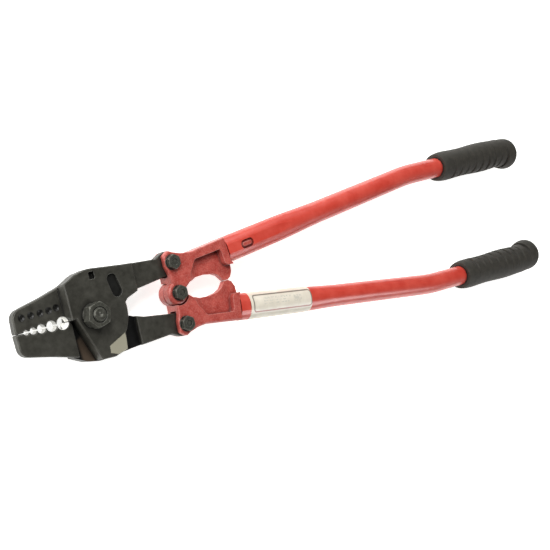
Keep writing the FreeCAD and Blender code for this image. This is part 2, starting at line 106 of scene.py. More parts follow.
def add_node(tree: Tree, kind: Kind, settings: Settings, out: Union[int, str] = 0) -> Optional[Socket]:
    """Add one shader node with its settings and links.

    Args:
        tree: The node tree that gets the node.
        kind: The node's type.
        settings: Attribute names, or input names or numbers, to values or to the sockets that feed them.
        out: Name or number of the output to hand back.

    Returns:
        That output, or nothing for a node that has none.
    """
    made = tree.nodes.new(kind.value)
    for key, value in settings.items():
        if isinstance(value, bpy.types.NodeSocket):
            tree.links.new(value, made.inputs[key])
        elif isinstance(key, str) and hasattr(made, key):
            setattr(made, key, value)
        else:
            made.inputs[key].default_value = value
    return made.outputs[out] if made.outputs else None


@dataclass(frozen=True)
class Mottle:
    """Soft two-tone patches of a real size."""

    dark: str
    light: str
    size_mm: float
    detail: float = 3.0
    rough: float = 0.55
    dark_mark: float = 0.3
    light_mark: float = 0.7

    def lay(self, tree: Tree, place: Socket) -> Tuple[Socket, Socket]:
        """Lay the patches out.

        Args:
            tree: The node tree.
            place: Surface position in metres.

        Returns:
            The patches' value and their colour.
        """
        pattern = add_node(tree, Kind.NOISE, {"Scale": 1 / (self.size_mm * MM), "Detail": self.detail,
                                              "Roughness": self.rough, "Vector": place})
        colour = add_node(tree, Kind.RAMP, {0: pattern})
        marks = (self.dark_mark, self.light_mark)
        for element, mark, code in zip(colour.node.color_ramp.elements, marks, (self.dark, self.light)):
            element.position = mark
            element.color = srgb(code)
        return pattern, colour


@dataclass(frozen=True)
class Grain:
    """Fine lumps of a real size that stand in relief."""

    size_mm: float
    depth_mm: float
    strength: float
    detail: float = 2.0
    rough: float = 0.55

    def lay(self, tree: Tree, place: Socket, under: Optional[Socket] = None) -> Tuple[Socket, Socket]:
        """Lay the lumps out and raise them.

        Args:
            tree: The node tree.
            place: Surface position in metres.
            under: Normal that the relief lies on.

        Returns:
            The lumps' value and the new normal.
        """
        pattern = add_node(tree, Kind.NOISE, {"Scale": 1 / (self.size_mm * MM), "Detail": self.detail,
                                              "Roughness": self.rough, "Vector": place})
        settings = {"Distance": self.depth_mm * MM, "Strength": self.strength, "Height": pattern}
        if under is not None:
            settings["Normal"] = under
        return pattern, add_node(tree, Kind.BUMP, settings)


@dataclass(frozen=True)
class Layer:
    """A thin layer of colour that lies over a finish where a mask lets it: painted shade, painted highlights,
    and real marks such as bare steel and print.
    """

    code: str
    strength: float = 1.0

    def over(self, tree: Tree, mask: Socket, colour: Union[Socket, Colour]) -> Socket:
        """Lay the layer over a colour.

        Args:
            tree: The node tree.
            mask: Where the layer lies, from zero to one.
            colour: The colour underneath.

        Returns:
            The new colour.
        """
        share = add_node(tree, Kind.MATHS, {"operation": "MULTIPLY", 0: mask, 1: self.strength})
        settings = {**BLEND, 0: share, BLEND_LOW: colour, BLEND_HIGH: srgb(self.code)}
        return add_node(tree, Kind.MIX, settings, BLEND_OUT)


@dataclass(frozen=True)
class Corner:
    """Outer corners, found through a softened normal, where the finishes lay their paler edges."""

    radius_mm: float
    rays: int = 6
    flat: float = 0.995
    sharp: float = 0.90

    def lay(self, tree: Tree) -> Tuple[Socket, Socket]:
        """Find the corners.

        Args:
            tree: The node tree.

        Returns:
            A share that rises towards corners, and the softened normal there.
        """
        soft = add_node(tree, Kind.BEVEL, {"samples": self.rays, "Radius": self.radius_mm * MM})
        plain = add_node(tree, Kind.SURFACE, {}, "Normal")
        match = add_node(tree, Kind.VECTOR, {"operation": "DOT_PRODUCT", 0: soft, 1: plain}, "Value")
        settings = {"From Min": self.flat, "From Max": self.sharp, "Value": match}
        return add_node(tree, Kind.RANGE, settings), soft


@dataclass(frozen=True)
class Hollow:
    """Hollows and inner corners, where the sky is shut out: the finishes paint shade there."""

    reach_mm: float
    shut: float
    open: float
    rays: int = 8

    def lay(self, tree: Tree) -> Socket:
        """Find the hollows.

        Args:
            tree: The node tree.

        Returns:
            A share that rises where the sky is shut out.
        """
        sky = add_node(tree, Kind.OPEN_SKY, {"samples": self.rays, "Distance": self.reach_mm * MM}, "AO")
        settings = {**FALL, "From Min": self.shut, "From Max": self.open, "Value": sky}
        return add_node(tree, Kind.RANGE, settings)


def flat_place(tree: Tree, place: Socket) -> Socket:
    """Surface position in plan, in millimetres from the main pivot.

    Args:
        tree: The node tree.
        place: Surface position in metres.

    Returns:
        The position in plan.
    """
    moved = add_node(tree, Kind.VECTOR, {"operation": "SUBTRACT", 0: place, 1: PIVOT})
    return add_node(tree, Kind.VECTOR, {"operation": "MULTIPLY", 0: moved, 1: (1 / MM, 1 / MM, 0.0)})


def round_spots(tree: Tree, plan: Socket, spots: Sequence[Spot], soft_mm: float) -> Socket:
    """Share that is one inside any of some upright round spots.

    Args:
        tree: The node tree.
        plan: Position in plan in millimetres.
        spots: Centre and radius of each spot.
        soft_mm: Width of the soft edge.

    Returns:
        The share.
    """
    best: Optional[Socket] = None
    for x, y, radius in spots:
        away = add_node(tree, Kind.VECTOR, {"operation": "DISTANCE", 0: plan, 1: (x, y, 0.0)}, "Value")
        share = add_node(tree, Kind.RANGE, {**FALL, "From Min": radius - soft_mm / 2,
                                            "From Max": radius + soft_mm / 2, "Value": away})
        if best is None:
            best = share
        else:
            best = add_node(tree, Kind.MATHS, {"operation": "MAXIMUM", 0: best, 1: share})
    return best


def inside_outline(tree: Tree, plan: Socket, corners: Sequence[Point], soft_mm: float,
                   wobble: Optional[Socket] = None) -> Socket:
    """Share that is one inside a convex outline given in anticlockwise order.

    Args:
        tree: The node tree.
        plan: Position in plan in millimetres.
        corners: The outline's corners.
        soft_mm: Width of the soft edge.
        wobble: Value near zero, in millimetres, that makes the edge uneven.

    Returns:
        The share.
    """
    least: Optional[Socket] = None
    for index, (x, y) in enumerate(corners):
        end_x, end_y = corners[(index + 1) % len(corners)]
        inward = Vector((y - end_y, end_x - x, 0.0)).normalized()
        run = add_node(tree, Kind.VECTOR, {"operation": "DOT_PRODUCT", 0: plan, 1: inward}, "Value")
        start = inward.x * x + inward.y * y
        depth = add_node(tree, Kind.MATHS, {"operation": "SUBTRACT", 0: run, 1: start})
        if least is None:
            least = depth
        else:
            least = add_node(tree, Kind.MATHS, {"operation": "MINIMUM", 0: least, 1: depth})
    if wobble is not None:
        least = add_node(tree, Kind.MATHS, {"operation": "ADD", 0: least, 1: wobble})
    return add_node(tree, Kind.RANGE, {**FALL, "From Min": soft_mm / 2, "From Max": -soft_mm / 2,
                                       "Value": least})


@dataclass(frozen=True)
class Finish:
    """What every finish shares: a name, an empty tree to start from, and a principled surface to end with."""

    name: str

    def start(self) -> Tuple[bpy.types.Material, Tree, Socket]:
        """Make the empty material.

        Returns:
            The material, its node tree and the surface position in metres.
        """
        material = bpy.data.materials.new(self.name)
        material.use_nodes = True
        tree = material.node_tree
        tree.nodes.clear()
        return material, tree, add_node(tree, Kind.PLACE, {}, "Object")

    def close(self, tree: Tree, surface: Settings) -> None:
        """Make the principled shader and the output.

        Args:
            tree: The node tree.
            surface: The shader's settings and links.
        """
        add_node(tree, Kind.OUTPUT, {"Surface": add_node(tree, Kind.SHADER, surface)})

    def build(self) -> bpy.types.Material:
        """Make the finished material."""
        raise NotImplementedError


@dataclass(frozen=True)
class PhosphatedSteel(Finish):
    """Forged and ground steel under a manganese phosphate coat: dull, warm, fine crystalline grey."""

    mottle: Mottle = Mottle("#35342e", "#47463f", 5.0, 5.0, 0.65, 0.32, 0.68)
    # Real crystals are far finer: these are coarser so that they show
    crystals: Grain = Grain(0.7, 0.03, 0.45)
    corner: Corner = Corner(0.6)
    hollow: Hollow = Hollow(7.0, 0.35, 0.93)
    # Paler corners: partly worn coat, partly painted highlight
    edge: Layer = Layer("#8b8a83", 0.9)
    # Painted shade: near black in the hollows, dimples and recesses, and on the lap faces between the jaws
    painted_shade: Layer = Layer("#0b0b0a")
    painted_shade_share: float = 0.9
    lap: Layer = Layer("#54473a")
    # Painted light: the die bores and the seam between the jaws go near white, as the pale floor seen through
    # them
    seen_through_light: Layer = Layer("#f6f5f0")
    ground: Layer = Layer("#a9a591")
    ground_uneven: float = 0.9
    metallic: float = 0.25
    smoothest: float = 0.32
    roughest: float = 0.56
    dies: Tuple[Spot, ...] = (
        (-19.8, 0.0, 4.4), (-28.1, 0.0, 3.7), (-35.7, 0.0, 3.0), (-41.7, 0.0, 2.3), (-46.8, 0.0, 1.7))
    die_soft: float = 0.12
    die_seam: Tuple[Point, ...] = ((-46.8, -0.5), (-15.9, -0.5), (-15.9, 0.5), (-46.8, 0.5))
    seam_soft: float = 0.1
    die_levels: Point = (3.3, 3.5)
    dimples: Tuple[Spot, ...] = (
        (-22.1, 11.1, 2.5), (-27.9, 10.4, 2.5), (-34.3, 10.2, 2.5), (-41.2, 10.1, 2.5), (-48.0, 10.0, 2.5))
    dimple_soft: float = 0.8
    dimple_levels: Point = (3.28, 3.6)
    recesses: Tuple[Spot, ...] = (
        (23.2, 12.4, 4.1), (22.8, 14.6, 4.1), (22.3, 16.8, 4.1), (21.8, 19.0, 4.1), (21.4, 21.2, 4.1),
        (6.2, 26.9, 3.3))
    recess_soft: float = 0.3
    recess_levels: Point = (9.35, 9.45)
    ground_corner: Tuple[Point, ...] = (
        (21.6, -17.0), (7.6, -23.2), (7.1, -28.0), (12.5, -30.2), (22.4, -29.0))
    ground_soft: float = 0.4
    ground_levels: Point = (9.0, 7.0)
    lap_front: Tuple[Point, ...] = ((-11.0, -14.0), (-9.0, -34.0), (1.0, -34.0), (-7.0, -12.0))
    lap_soft: float = 2.5
    lap_levels: Point = (0.2, 0.35)

    def build(self) -> bpy.types.Material:
        """Make the coat with its paler corners, then the lap faces, painted shade in the hollows, the dies
        painted near white as light seen through them, and the one ground corner.
        """
        material, tree, place = self.start()
        plan = flat_place(tree, place)
        rise = self.rise(tree, place)
        patches, colour = self.mottle.lay(tree, place)
        corner_share, soft = self.corner.lay(tree)
        speck, normal = self.crystals.lay(tree, place, soft)
        # Paler corners, flecked: partly worn coat, partly painted highlight
        worn = add_node(tree, Kind.MATHS, {"operation": "MULTIPLY", 0: corner_share, 1: speck})
        colour = self.edge.over(tree, worn, colour)
        colour = self.with_lap(tree, plan, rise, colour)
        # Painted shade in the hollows, dimples and recesses
        colour = self.painted_shade.over(tree, self.painted_shade_mask(tree, plan, rise), colour)
        # Painted light in the die bores and the seam
        colour = self.seen_through_light.over(tree, self.seen_through_share(tree, plan, rise), colour)
        colour = self.ground.over(tree, self.ground_patch(tree, plan, rise, speck), colour)
        rough = add_node(tree, Kind.RANGE, {"To Min": self.smoothest, "To Max": self.roughest,
                                            "Value": patches})
        self.close(tree, {"Base Color": colour, "Metallic": self.metallic, "Roughness": rough,
                          "Normal": normal})
        return material

    def rise(self, tree: Tree, place: Socket) -> Socket:
        """Height above the lap plane in millimetres.

        Args:
            tree: The node tree.
            place: Surface position in metres.

        Returns:
            The height.
        """
        level = add_node(tree, Kind.SPLIT, {0: place}, "Z")
        above = add_node(tree, Kind.MATHS, {"operation": "SUBTRACT", 0: level, 1: PIVOT.z})
        return add_node(tree, Kind.MATHS, {"operation": "MULTIPLY", 0: above, 1: 1 / MM})

    def between(self, tree: Tree, rise: Socket, share: Socket, levels: Point) -> Socket:
        """Keep a share only on one side of a level.

        Args:
            tree: The node tree.
            rise: Height above the lap plane.
            share: The share to keep.
            levels: Height where the whole share is kept, and height where nothing is left.

        Returns:
            The kept share.
        """
        kept = add_node(tree, Kind.RANGE, {**FALL, "From Min": levels[0], "From Max": levels[1],
                                           "Value": rise})
        return add_node(tree, Kind.MATHS, {"operation": "MULTIPLY", 0: share, 1: kept})

    def with_lap(self, tree: Tree, plan: Socket, rise: Socket, colour: Socket) -> Socket:
        """Colour the lap faces: brown in front where the jaws rub on each other, and elsewhere black as
        painted shade between the jaws.

        Args:
            tree: The node tree.
            plan: Position in plan in millimetres.
            rise: Height above the lap plane.
            colour: The colour so far.

        Returns:
            The new colour.
        """
        front = inside_outline(tree, plan, self.lap_front, self.lap_soft)
        # Brown in front; elsewhere on the lap, painted shade between the jaws
        lap_colour = self.lap.over(tree, front, srgb(self.painted_shade.code))
        gap = add_node(tree, Kind.MATHS, {"operation": "ABSOLUTE", 0: rise})
        on_lap = add_node(tree, Kind.RANGE, {**FALL, "From Min": self.lap_levels[0],
                                             "From Max": self.lap_levels[1], "Value": gap})
        settings = {**BLEND, 0: on_lap, BLEND_LOW: colour, BLEND_HIGH: lap_colour}
        return add_node(tree, Kind.MIX, settings, BLEND_OUT)

    def painted_shade_mask(self, tree: Tree, plan: Socket, rise: Socket) -> Socket:
        """Share of painted shade in the dimples, the recesses and the hollows.

        Args:
            tree: The node tree.
            plan: Position in plan in millimetres.
            rise: Height above the lap plane.

        Returns:
            The share.
        """
        dimples = round_spots(tree, plan, self.dimples, self.dimple_soft)
        recesses = round_spots(tree, plan, self.recesses, self.recess_soft)
        deep = add_node(tree, Kind.MATHS, {
            "operation": "MAXIMUM", 0: self.between(tree, rise, dimples, self.dimple_levels),
            1: self.between(tree, rise, recesses, self.recess_levels)})
        most = add_node(tree, Kind.MATHS, {"operation": "MAXIMUM", 0: self.hollow.lay(tree), 1: deep})
        return add_node(tree, Kind.MATHS, {"operation": "MULTIPLY", 0: most, 1: self.painted_shade_share})

    def seen_through_share(self, tree: Tree, plan: Socket, rise: Socket) -> Socket:
        """Share of the die bores and the seam between them that are painted near white, as light seen through
        them.

        Args:
            tree: The node tree.
            plan: Position in plan in millimetres.
            rise: Height above the lap plane.

        Returns:
            The share.
        """
        bores = round_spots(tree, plan, self.dies, self.die_soft)
        seam = inside_outline(tree, plan, self.die_seam, self.seam_soft)
        dies = add_node(tree, Kind.MATHS, {"operation": "MAXIMUM", 0: bores, 1: seam})
        return self.between(tree, rise, dies, self.die_levels)

    def ground_patch(self, tree: Tree, plan: Socket, rise: Socket, speck: Socket) -> Socket:
        """Share of the corner of the upper hub that is ground through the coat.

        Args:
            tree: The node tree.
            plan: Position in plan in millimetres.
            rise: Height above the lap plane.
            speck: The crystals' value, which makes the edge uneven.

        Returns:
            The share.
        """
        centred = add_node(tree, Kind.MATHS, {"operation": "SUBTRACT", 0: speck, 1: 0.5})
        uneven = add_node(tree, Kind.MATHS, {"operation": "MULTIPLY", 0: centred, 1: self.ground_uneven})
        patch = inside_outline(tree, plan, self.ground_corner, self.ground_soft, uneven)
        return self.between(tree, rise, patch, self.ground_levels)


@dataclass(frozen=True)
class BlackOxideSteel(Finish):
    """Turned and headed steel with a black oxide skin under a film of lubricant: near black, half dull, with
    a painted highlight on its corners and painted shade in its hollows.
    """

    mottle: Mottle = Mottle("#42423b", "#5e5e56", 2.2, dark_mark=0.35)
    # Real turning marks are finer: these are coarser so that they show
    turning: Grain = Grain(0.5, 0.02, 0.4)
    corner: Corner = Corner(0.35)
    hollow: Hollow = Hollow(5.0, 0.45, 0.95)
    # Painted highlight on the corners
    edge: Layer = Layer("#aaaa9f", 0.6)
    # Painted shade in the hollows
    painted_shade: Layer = Layer("#0c0c0a", 0.97)
    metallic: float = 0.45
    smoothest: float = 0.34
    roughest: float = 0.52

    def build(self) -> bpy.types.Material:
        """Make the skin with fine turning marks, a painted highlight on the corners and painted shade in the
        hollows.
        """
        material, tree, place = self.start()
        _, colour = self.mottle.lay(tree, place)
        corner_share, soft = self.corner.lay(tree)
        speck, normal = self.turning.lay(tree, place, soft)
        # Painted highlight on the corners
        colour = self.edge.over(tree, corner_share, colour)
        # Painted shade in the hollows
        colour = self.painted_shade.over(tree, self.hollow.lay(tree), colour)
        rough = add_node(tree, Kind.RANGE, {"To Min": self.smoothest, "To Max": self.roughest,
                                            "Value": speck})
        self.close(tree, {"Base Color": colour, "Metallic": self.metallic, "Roughness": rough,
                          "Normal": normal})
        return material


@dataclass(frozen=True)
class PowderCoat(Finish):
    """Red polyester powder baked over a forging: slightly pebbled, half gloss, with painted shade in its
    hollows and inner corners.
    """

    mottle: Mottle = Mottle("#9f352c", "#c35a4f", 6.0, 5.0, 0.65)
    # Real pebbles are nearer half a millimetre: these are coarser so that they show
    pebbles: Grain = Grain(1.1, 0.3, 1.0)
    pebble_top: float = 0.66
    pebble_foot: float = 0.42
    corner: Corner = Corner(0.8)
    hollow: Hollow = Hollow(4.0, 0.35, 0.95)
    # Painted highlight on the corners, and painted glints on the pebble tops
    edge: Layer = Layer("#eba89d", 0.5)
    glint: Layer = Layer("#eba89d", 0.16)
    # Painted shade, deep red, in the hollows
    hollow_shade: Layer = Layer("#5e140f", 0.85)
    roughness: float = 0.36
    coat: float = 0.25
    coat_roughness: float = 0.3

    def build(self) -> bpy.types.Material:
        """Make the coat with its pebbled flow, its painted glints, a painted highlight on its thin corners
        and painted shade in the hollows.
        """
        material, tree, place = self.start()
        _, colour = self.mottle.lay(tree, place)
        corner_share, soft = self.corner.lay(tree)
        lumps, normal = self.pebbles.lay(tree, place, soft)
        tops = add_node(tree, Kind.RANGE, {**FALL, "From Min": self.pebble_top, "From Max": self.pebble_foot,
                                           "Value": lumps})
        # Painted highlight on the corners and painted glints on the pebble tops
        colour = self.edge.over(tree, corner_share, colour)
        colour = self.glint.over(tree, tops, colour)
        # Painted shade in the hollows
        colour = self.hollow_shade.over(tree, self.hollow.lay(tree), colour)
        self.close(tree, {"Base Color": colour, "Roughness": self.roughness, "Coat Weight": self.coat,
                          "Coat Roughness": self.coat_roughness, "Normal": normal})
        return material


@dataclass(frozen=True)
class GlossEnamel(Finish):
    """Wet-sprayed red enamel on drawn tube: smooth and glossy with a faint orange peel."""

    mottle: Mottle = Mottle("#c93f31", "#da5648", 14.0)
    peel: Grain = Grain(1.8, 0.02, 0.5, 1.0)
    hollow: Hollow = Hollow(4.0, 0.3, 0.8)
    # Painted shade in the hollows
    hollow_shade: Layer = Layer("#4a0805", 0.85)
    roughness: float = 0.36
    coat: float = 0.3
    coat_roughness: float = 0.2

    def build(self) -> bpy.types.Material:
        """Make the enamel with its long, shallow flow marks and painted shade in the hollows."""
        material, tree, place = self.start()
        _, colour = self.mottle.lay(tree, place)
        _, normal = self.peel.lay(tree, place)
        # Painted shade in the hollows
        colour = self.hollow_shade.over(tree, self.hollow.lay(tree), colour)
        self.close(tree, {"Base Color": colour, "Roughness": self.roughness, "Coat Weight": self.coat,
                          "Coat Roughness": self.coat_roughness, "Normal": normal})
        return material


@dataclass(frozen=True)
class MouldedRubber(Finish):
    """Black thermoplastic rubber from a spark-eroded mould: matte, fine even grain, paler towards the
    corners.
    """

    mottle: Mottle = Mottle("#2c2a25", "#3f3c35", 5.0, 5.0, 0.7, 0.3, 0.72)
    # Real spark grain is about a tenth of a millimetre: this is coarser so that it shows
    spark: Grain = Grain(0.6, 0.05, 0.7)
    corner: Corner = Corner(0.9)
    hollow: Hollow = Hollow(3.0, 0.6, 0.93)
    # Paler towards the corners
    corner_tint: Layer = Layer("#565248", 0.2)
    shade: Layer = Layer("#0c0c0b", 0.97)
    smoothest: float = 0.60
    roughest: float = 0.78
    shine: float = 0.4

    def build(self) -> bpy.types.Material:
        """Make the rubber with its spark grain, soft blotches, paler corners and painted shade in the
        grooves.
        """
        material, tree, place = self.start()
        _, colour = self.mottle.lay(tree, place)
        corner_share, soft = self.corner.lay(tree)
        pits, normal = self.spark.lay(tree, place, soft)
        # Paler towards the corners
        colour = self.corner_tint.over(tree, corner_share, colour)
        # Painted shade in the grooves and hollows
        colour = self.shade.over(tree, self.hollow.lay(tree), colour)
        rough = add_node(tree, Kind.RANGE, {"To Min": self.smoothest, "To Max": self.roughest, "Value": pits})
        self.close(tree, {"Base Color": colour, "Roughness": rough, "Specular IOR Level": self.shine,
                          "Normal": normal})
        return material


@dataclass(frozen=True)
class PrintedFilm(Finish):
    """Off-white vinyl film: satin, with a printed rounded rule and pale bars where print has worn off."""

    mottle: Mottle = Mottle("#e4dccb", "#f2ebdb", 8.0, dark_mark=0.35)
    ripple: Grain = Grain(3.0, 0.01, 0.4, 1.0)
    rule: str = "#6f675c"
    red_rule: Layer = Layer("#8f3a2c")
    rule_ink: float = 0.9
    rule_core: float = 0.275
    rule_rim: float = 0.825
    red_full: float = -5.7
    red_none: float = -5.2
    turn: float = math.radians(7.35)
    middle: Point = (175.0, -27.5)
    half_size: Point = (31.5, 6.6)
    corner: float = 2.2
    bar: Layer = Layer("#cbc7ba", 0.8)
    bars: Tuple[Tuple[float, float, float, float], ...] = (
        (-6.0, 3.4, 15.0, 0.7), (-9.0, 1.2, 12.0, 0.45), (-7.5, -0.9, 13.5, 0.45), (16.0, 1.0, 4.2, 2.6))
    bar_corner: float = 0.4
    bar_levels: Point = (-0.1, 0.25)
    wear_mm: float = 1.6
    wear_detail: float = 3.0
    wear_rough: float = 0.55
    wear_levels: Point = (0.35, 0.62)
    roughness: float = 0.38
    coat: float = 0.3

    def build(self) -> bpy.types.Material:
        """Make the film with faint yellowing, its rule and its worn bars, printed on the upper side only."""
        material, tree, place = self.start()
        _, film = self.mottle.lay(tree, place)
        _, normal = self.ripple.lay(tree, place)
        centred = add_node(tree, Kind.VECTOR, {"operation": "SUBTRACT", 0: flat_place(tree, place),
                                               1: (*self.middle, 0.0)})
        local = add_node(tree, Kind.TURN, {"rotation_type": "Z_AXIS", "Angle": self.turn, "Vector": centred})
        printed = self.with_rule(tree, local, self.with_bars(tree, place, local, film))
        level = add_node(tree, Kind.SPLIT, {0: place}, "Z")
        upper = add_node(tree, Kind.RANGE, {**FALL, "From Min": PIVOT.z + MM, "From Max": PIVOT.z,
                                            "Value": level})
        settings = {**BLEND, 0: upper, BLEND_LOW: film, BLEND_HIGH: printed}
        colour = add_node(tree, Kind.MIX, settings, BLEND_OUT)
        self.close(tree, {"Base Color": colour, "Roughness": self.roughness, "Coat Weight": self.coat,
                          "Normal": normal})
        return material

    def with_bars(self, tree: Tree, place: Socket, local: Socket, colour: Socket) -> Socket:
        """Lay the pale, worn bars over the film.

        Args:
            tree: The node tree.
            place: Surface position in metres.
            local: Position along and across the label in millimetres.
            colour: The film's colour.

        Returns:
            The new colour.
        """
        lumps = add_node(tree, Kind.NOISE, {"Scale": 1 / (self.wear_mm * MM), "Detail": self.wear_detail,
                                            "Roughness": self.wear_rough, "Vector": place})
        left = add_node(tree, Kind.RANGE, {**FALL, "From Min": self.wear_levels[0],
                                           "From Max": self.wear_levels[1], "Value": lumps})
        for x, y, half_x, half_y in self.bars:
            gap = self.rounded_gap(tree, local, (x, y), (half_x, half_y), self.bar_corner)
            inside = add_node(tree, Kind.RANGE, {**FALL, "From Min": self.bar_levels[0],
                                                 "From Max": self.bar_levels[1], "Value": gap})
            mask = add_node(tree, Kind.MATHS, {"operation": "MULTIPLY", 0: inside, 1: left})
            colour = self.bar.over(tree, mask, colour)
        return colour

    def with_rule(self, tree: Tree, local: Socket, colour: Socket) -> Socket:
        """Lay the rounded rule over the film, red along its lower side.

        Args:
            tree: The node tree.
            local: Position along and across the label in millimetres.
            colour: The colour so far.

        Returns:
            The new colour.
        """
        gap = self.rounded_gap(tree, local, (0.0, 0.0), self.half_size, self.corner)
        near = add_node(tree, Kind.MATHS, {"operation": "ABSOLUTE", 0: gap})
        line = add_node(tree, Kind.RANGE, {**FALL, "From Min": self.rule_core, "From Max": self.rule_rim,
                                           "Value": near})
        across = add_node(tree, Kind.SPLIT, {0: local}, "Y")
        low = add_node(tree, Kind.RANGE, {**FALL, "From Min": self.red_full, "From Max": self.red_none,
                                          "Value": across})
        rule_colour = self.red_rule.over(tree, low, srgb(self.rule))
        ink = add_node(tree, Kind.MATHS, {"operation": "MULTIPLY", 0: line, 1: self.rule_ink})
        settings = {**BLEND, 0: ink, BLEND_LOW: colour, BLEND_HIGH: rule_colour}
        return add_node(tree, Kind.MIX, settings, BLEND_OUT)

    def rounded_gap(self, tree: Tree, local: Socket, centre: Point, half_size: Point,
                    corner: float) -> Socket:
        """Distance outside a rounded rectangle, negative inside.

        Args:
            tree: The node tree.
            local: Position along and across the label in millimetres.
            centre: The rectangle's middle.
            half_size: Its half length and half width.
            corner: Its corner radius.

        Returns:
            The distance in millimetres.
        """
        away = add_node(tree, Kind.VECTOR, {"operation": "SUBTRACT", 0: local, 1: (*centre, 0.0)})
        folded = add_node(tree, Kind.VECTOR, {"operation": "ABSOLUTE", 0: away})
        core = (half_size[0] - corner, half_size[1] - corner, 0.0)
        past = add_node(tree, Kind.VECTOR, {"operation": "SUBTRACT", 0: folded, 1: core})
        outer = add_node(tree, Kind.VECTOR, {"operation": "MAXIMUM", 0: past, 1: (0.0, 0.0, 0.0)})
        length = add_node(tree, Kind.VECTOR, {"operation": "LENGTH", 0: outer}, "Value")
        along = add_node(tree, Kind.SPLIT, {0: past}, "X")
        across = add_node(tree, Kind.SPLIT, {0: past}, "Y")
        most = add_node(tree, Kind.MATHS, {"operation": "MAXIMUM", 0: along, 1: across})
        inner = add_node(tree, Kind.MATHS, {"operation": "MINIMUM", 0: most, 1: 0.0})
        whole = add_node(tree, Kind.MATHS, {"operation": "ADD", 0: length, 1: inner})
        return add_node(tree, Kind.MATHS, {"operation": "SUBTRACT", 0: whole, 1: corner})


# Crystals of phosphate scatter the light: a dull, warm grey in soft patches
JAW_STEEL = PhosphatedSteel("phosphated jaw steel")
# A thin oxide under a film of lubricant is near black; its corners get a painted highlight and its hollows
# painted shade
FASTENER_STEEL = BlackOxideSteel("black oxide fastener steel")
# Baked powder flows unevenly into pebbles: painted glints on them, a painted highlight on the corners and
# painted shade in the hollows
YOKE_RED = PowderCoat("red powder coat on forging")
# Sprayed enamel levels out: long soft highlights over a faint orange peel
TUBE_RED = GlossEnamel("gloss red enamel on tube")
# Spark-eroded grain takes the shine off: matte black, with painted shade in the grooves
GRIP_RUBBER = MouldedRubber("moulded black rubber")
# Vinyl lies flat and satin: an off-white that the printed rule stands out on
LABEL_FILM = PrintedFilm("off-white label film")


def dress(names: Sequence[str], material: bpy.types.Material) -> None:
    """Give CAD nodes one material in place of their packed ones.

    Args:
        names: CAD node names.
        material: The material they take.
    """
    for name in names:
        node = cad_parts[name]
        node.data.materials.clear()
        node.data.materials.append(material)
        LOG.info("dressed %s in %s", name, material.name)


@dataclass
class SpringWasher:
    """The split lock washer under the main nut: one square-section turn of spring steel."""

    inner: float = 10.2 * MM
    outer: float = 16.9 * MM
    inset: float = 0.05 * MM
    gap: float = math.radians(9.0)
    gap_at: float = math.radians(188.0)
    corner: float = 0.25 * MM
    corner_segments: int = 2
    sharp_angle: float = math.radians(40.0)
    lift: float = 0.12 * MM
    steps: int = 96
    weld: float = 0.001 * MM

    def build(self, finish: bpy.types.Material) -> None:
        """Spin the section round the bolt, ease its corners and fit it in place of the plain ring.

        Args:
            finish: The material it takes.
        """
        low, high = (corner[2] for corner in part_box("main_pivot_washer"))
        floor = low + self.inset
        roof = high - self.lift - self.inset
        start = Matrix.Rotation(self.gap_at + self.gap / 2, 3, "Z")
        shell = bmesh.new()
        near, far = self.inner / 2, self.outer / 2
        centre = Vector((PIVOT.x, PIVOT.y, 0.0))
        corners = [shell.verts.new(centre + start @ Vector((reach, 0.0, level)))
                   for reach, level in ((near, floor), (far, floor), (far, roof), (near, roof))]
        shell.faces.new(corners)
        bmesh.ops.spin(shell, geom=shell.verts[:] + shell.edges[:] + shell.faces[:], cent=PIVOT,
                       axis=(0.0, 0.0, 1.0), dvec=(0.0, 0.0, self.lift / self.steps),
                       angle=math.tau - self.gap, steps=self.steps)
        sharp = [edge for edge in shell.edges
                 if len(edge.link_faces) == 2 and edge.calc_face_angle() > self.sharp_angle]
        bmesh.ops.bevel(shell, geom=sharp, offset=self.corner, offset_type="OFFSET",
                        segments=self.corner_segments, profile=0.5, affect="EDGES", material=-1,
                        clamp_overlap=True)
        bmesh.ops.remove_doubles(shell, verts=shell.verts[:], dist=self.weld)
        bmesh.ops.recalc_face_normals(shell, faces=shell.faces[:])
        mesh = bpy.data.meshes.new("main_pivot_spring_washer")
        shell.to_mesh(mesh)
        shell.free()
        washer = bpy.data.objects.new("main_pivot_spring_washer", mesh)
        bpy.context.scene.collection.objects.link(washer)
        mesh.materials.append(finish)
        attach(washer, "upper_jaw_set")
        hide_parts("main_pivot_washer")
        LOG.info("made %s", washer.name)


@dataclass
class Jaws:
    """Both jaws and their main pivot hardware."""

    steel: Finish = JAW_STEEL
    hardware: Finish = FASTENER_STEEL
    washer: SpringWasher = field(default_factory=SpringWasher)

    def build(self) -> None:
        """Dress the forgings and the main bolt set, and fit the spring washer."""
        dress(["upper_jaw", "lower_jaw"], self.steel.build())
        black = self.hardware.build()
        dress(["main_pivot_bolt", "main_pivot_nut", "main_pivot_back_washer"], black)
        self.washer.build(black)


@dataclass
class Yokes:
    """Both forged yokes and the small pivots through them."""

    paint: Finish = YOKE_RED
    hardware: Finish = FASTENER_STEEL

    def build(self) -> None:
        """Dress the forgings and the small pivot sets."""
        dress(["upper_yoke", "lower_yoke"], self.paint.build())
        pivots = ("centre_pivot", "upper_link", "lower_link")
        dress([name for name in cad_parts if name.startswith(pivots)], self.hardware.build())


@dataclass
class Handles:
    """Tubes, grips and the wrap label."""

    enamel: Finish = TUBE_RED
    rubber: Finish = GRIP_RUBBER
    film: Finish = LABEL_FILM

    def build(self) -> None:
        """Dress the tubes, grips and label."""
        dress(["upper_handle_tube", "lower_handle_tube"], self.enamel.build())
        dress(["upper_grip", "lower_grip"], self.rubber.build())
        dress(["handle_label"], self.film.build())


